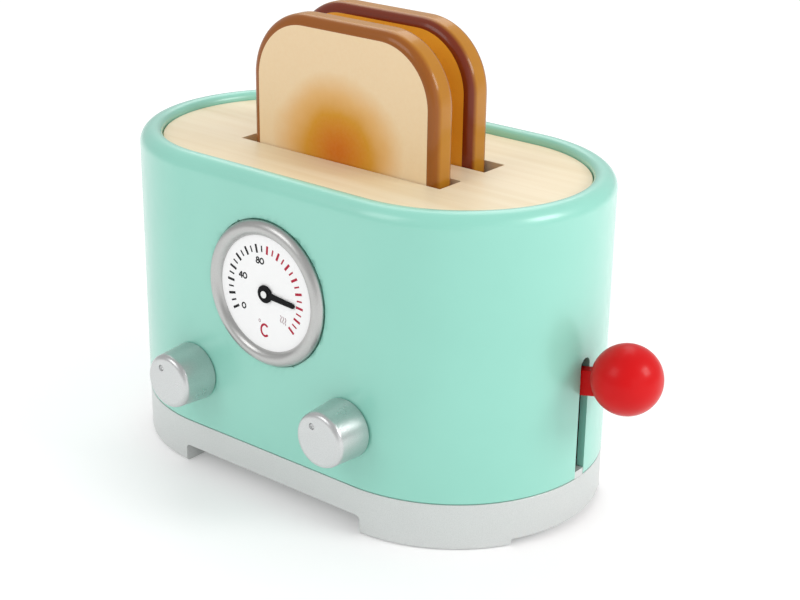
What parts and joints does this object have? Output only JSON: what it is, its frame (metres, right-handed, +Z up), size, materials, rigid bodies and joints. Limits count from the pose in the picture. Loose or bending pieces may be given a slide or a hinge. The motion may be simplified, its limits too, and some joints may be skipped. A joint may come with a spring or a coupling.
{
  "type": "toy toaster",
  "caption": "Wooden play toaster: long round-ended mint shell on a silver plinth, toast slices in top slots, a red ball lever at one end, turning knobs and a round dial with a needle.",
  "frame": {"origin": "on the plane that the feet rest on, below the middle of the whole toy's box, which takes in the ball and the knobs; the middle of the body is 15.7 mm towards -X and 7.85 mm towards +Y of it", "axes": "+Z up, +X towards the end with the lever, -Y towards the front with the dial and the knobs"},
  "size_m": [0.2374, 0.1358, 0.1817],
  "materials": {
    "mint_paint": "satin mint paint on moulded wood",
    "silver_paint": "satin silver paint on wood",
    "knob_silver": "satin silver paint on turned wood",
    "natural_wood": "pale unpainted wood under clear matt varnish",
    "plywood": "unfinished plywood",
    "red_paint": "high-gloss red paint on wood",
    "toast_paint": "satin paint, brown crust round a cream face with a toasted middle",
    "dial_white": "white printed board",
    "needle_black": "moulded black plastic",
    "pin_white": "moulded white plastic",
    "nylon": "natural nylon",
    "rod_steel": "ground steel rod",
    "spring_steel": "drawn spring wire",
    "screw_zinc": "zinc-plated steel",
    "brass": "drawn brass tube"
  },
  "bodies": {
    "housing": {"body_shell": "mint_paint", "base_plinth": "silver_paint", "top_panel": "natural_wood", "slot_divider": "plywood", "slot_guide_front": "plywood", "slot_guide_rear": "plywood", "guide_rod_left": "rod_steel", "guide_rod_right": "rod_steel", "lift_spring_left": "spring_steel", "lift_spring_right": "spring_steel", "pivot_bracket": "plywood", "pivot_pin": "rod_steel", "bracket_screws": "screw_zinc", "base_screws": "screw_zinc", "dial_ring": "silver_paint", "dial_face": "dial_white", "needle_pin": "pin_white"},
    "platform": {"toast_platform": "plywood", "guide_bush_left": "brass", "guide_bush_right": "brass", "lift_fork": "nylon", "fork_screws": "screw_zinc", "drive_pin": "rod_steel"},
    "lever": {"lever_arm": "red_paint", "lever_ball": "red_paint"},
    "front_slice": {"toast_front": "toast_paint"},
    "rear_slice": {"toast_rear": "toast_paint"},
    "left_knob": {"knob_left": "knob_silver", "spindle_left": "plywood", "knob_retainer_left": "nylon"},
    "right_knob": {"knob_right": "knob_silver", "spindle_right": "plywood", "knob_retainer_right": "nylon"},
    "needle": {"dial_needle": "needle_black"}
  },
  "joints": [
    {"name": "platform_press", "type": "slide", "parent": "housing", "child": "platform", "axis": [0, 0, -1], "range_m": [0, 0.017], "stiffness_N_per_m": 350, "springref_m": -0.02, "deforming": ["lift_spring_left", "lift_spring_right"]},
    {"name": "lever_press", "type": "hinge", "parent": "housing", "child": "lever", "pos_m": [-0.0457, 0.00985, 0.0309], "axis": [0, 1, 0], "range_deg": [0, 10.7]},
    {"name": "toast_front_lift", "type": "slide", "parent": "platform", "child": "front_slice", "axis": [0, 0, 1], "range_m": [0, 0.06]},
    {"name": "toast_rear_lift", "type": "slide", "parent": "platform", "child": "rear_slice", "axis": [0, 0, 1], "range_m": [0, 0.06]},
    {"name": "knob_left_turn", "type": "hinge", "parent": "housing", "child": "left_knob", "pos_m": [-0.0552, -0.05215, 0.0427], "axis": [0, -1, 0], "continuous": true},
    {"name": "knob_right_turn", "type": "hinge", "parent": "housing", "child": "right_knob", "pos_m": [0.0238, -0.05215, 0.0427], "axis": [0, -1, 0], "continuous": true},
    {"name": "needle_turn", "type": "hinge", "parent": "housing", "child": "needle", "pos_m": [-0.0153, -0.05275, 0.0858], "axis": [0, -1, 0], "range_deg": [-36, 216]}
  ],
  "couplings": [
    {"joint": "lever_press", "follows": "platform_press", "rad_per_m": 10.9}
  ]
}
